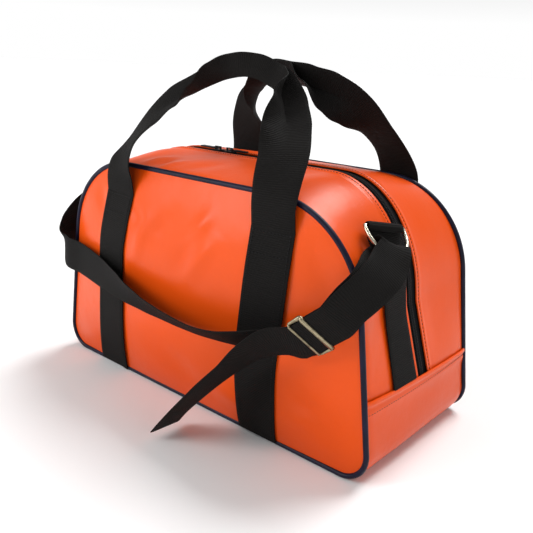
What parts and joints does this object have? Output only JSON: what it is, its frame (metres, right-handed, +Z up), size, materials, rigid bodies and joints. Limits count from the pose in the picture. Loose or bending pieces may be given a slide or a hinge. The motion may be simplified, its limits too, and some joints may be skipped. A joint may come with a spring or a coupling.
{
  "type": "holdall bag",
  "caption": "Soft coated-fabric holdall with a zipped domed top, piped edges, webbing carrying handles and an adjustable shoulder strap hooked through metal D-rings.",
  "frame": {"origin": "centre of the underside of the flat base, on the surface the bag stands on", "axes": "+Z up, +X along the bag's length towards the end by the buckle, -Y towards its front panel"},
  "size_m": [0.4762, 0.3085, 0.3833],
  "materials": {
    "coated_fabric": "satin",
    "piping": "satin",
    "stiffener": "matte",
    "zip_tape": "matte",
    "zip_coil": "satin",
    "zip_slider": "satin",
    "handle_webbing": "matte",
    "strap_webbing": "matte",
    "ring_metal": "polished",
    "buckle_metal": "satin"
  },
  "bodies": {
    "bag": {"front_panel": "coated_fabric", "rear_panel": "coated_fabric", "top_gusset_front": "coated_fabric", "top_gusset_rear": "coated_fabric", "lower_gusset": "coated_fabric", "front_piping": "piping", "rear_piping": "piping", "base_board": "stiffener", "zip_tape_front": "zip_tape", "zip_tape_rear": "zip_tape", "zip_coil_front": "zip_coil", "zip_coil_rear": "zip_coil", "handle_webbing_front_left": "handle_webbing", "handle_webbing_front_right": "handle_webbing", "handle_webbing_rear_left": "handle_webbing", "handle_webbing_rear_right": "handle_webbing", "left_ring_tab": "strap_webbing", "right_ring_tab": "strap_webbing"},
    "front_grip": {"front_handle": "handle_webbing"},
    "rear_grip": {"rear_handle": "handle_webbing"},
    "left_slider": {"zip_slider_left": "zip_slider"},
    "left_pull": {"zip_pull_left": "zip_slider"},
    "right_slider": {"zip_slider_right": "zip_slider"},
    "right_pull": {"zip_pull_right": "zip_slider"},
    "left_ring": {"left_d_ring": "ring_metal"},
    "right_ring": {"right_d_ring": "ring_metal"},
    "strap": {"shoulder_strap": "strap_webbing"},
    "buckle": {"strap_buckle": "buckle_metal"}
  },
  "joints": [
    {"name": "front_handle_fold", "type": "hinge", "parent": "bag", "child": "front_grip", "pos_m": [0, -0.1134, 0.226], "axis": [1, 0, 0], "range_deg": [0, 140]},
    {"name": "rear_handle_fold", "type": "hinge", "parent": "bag", "child": "rear_grip", "pos_m": [0, 0.1134, 0.226], "axis": [-1, 0, 0], "range_deg": [0, 165]},
    {"name": "left_slider_travel", "type": "slide", "parent": "bag", "child": "left_slider", "axis": [-1, 0, 0], "range_m": [0, 0.035]},
    {"name": "right_slider_travel", "type": "slide", "parent": "bag", "child": "right_slider", "axis": [1, 0, 0], "range_m": [0, 0.145]},
    {"name": "left_pull_turn", "type": "hinge", "parent": "left_slider", "child": "left_pull", "pos_m": [-0.066, 0, 0.2727], "axis": [0, 1, 0], "range_deg": [0, 160]},
    {"name": "right_pull_turn", "type": "hinge", "parent": "right_slider", "child": "right_pull", "pos_m": [-0.047, 0, 0.2727], "axis": [0, -1, 0], "range_deg": [0, 160]},
    {"name": "left_ring_turn", "type": "hinge", "parent": "bag", "child": "left_ring", "pos_m": [-0.192, -0.041, 0.2315], "axis": [-0.3597, 0.9193, -0.1599], "range_deg": [0, 1.5]},
    {"name": "right_ring_turn", "type": "hinge", "parent": "bag", "child": "right_ring", "pos_m": [0.192, -0.041, 0.2315], "axis": [0.3597, 0.9193, -0.1599], "range_deg": [-3, 1.5]},
    {"name": "strap_swing", "type": "hinge", "parent": "bag", "child": "strap", "pos_m": [0, -0.0509, 0.2151], "axis": [-1, 0, 0], "range_deg": [0, 1.8]},
    {"name": "buckle_travel", "type": "slide", "parent": "strap", "child": "buckle", "axis": [0.7502, 0.2001, 0.6302], "range_m": [-0.004, 0.014]}
  ]
}
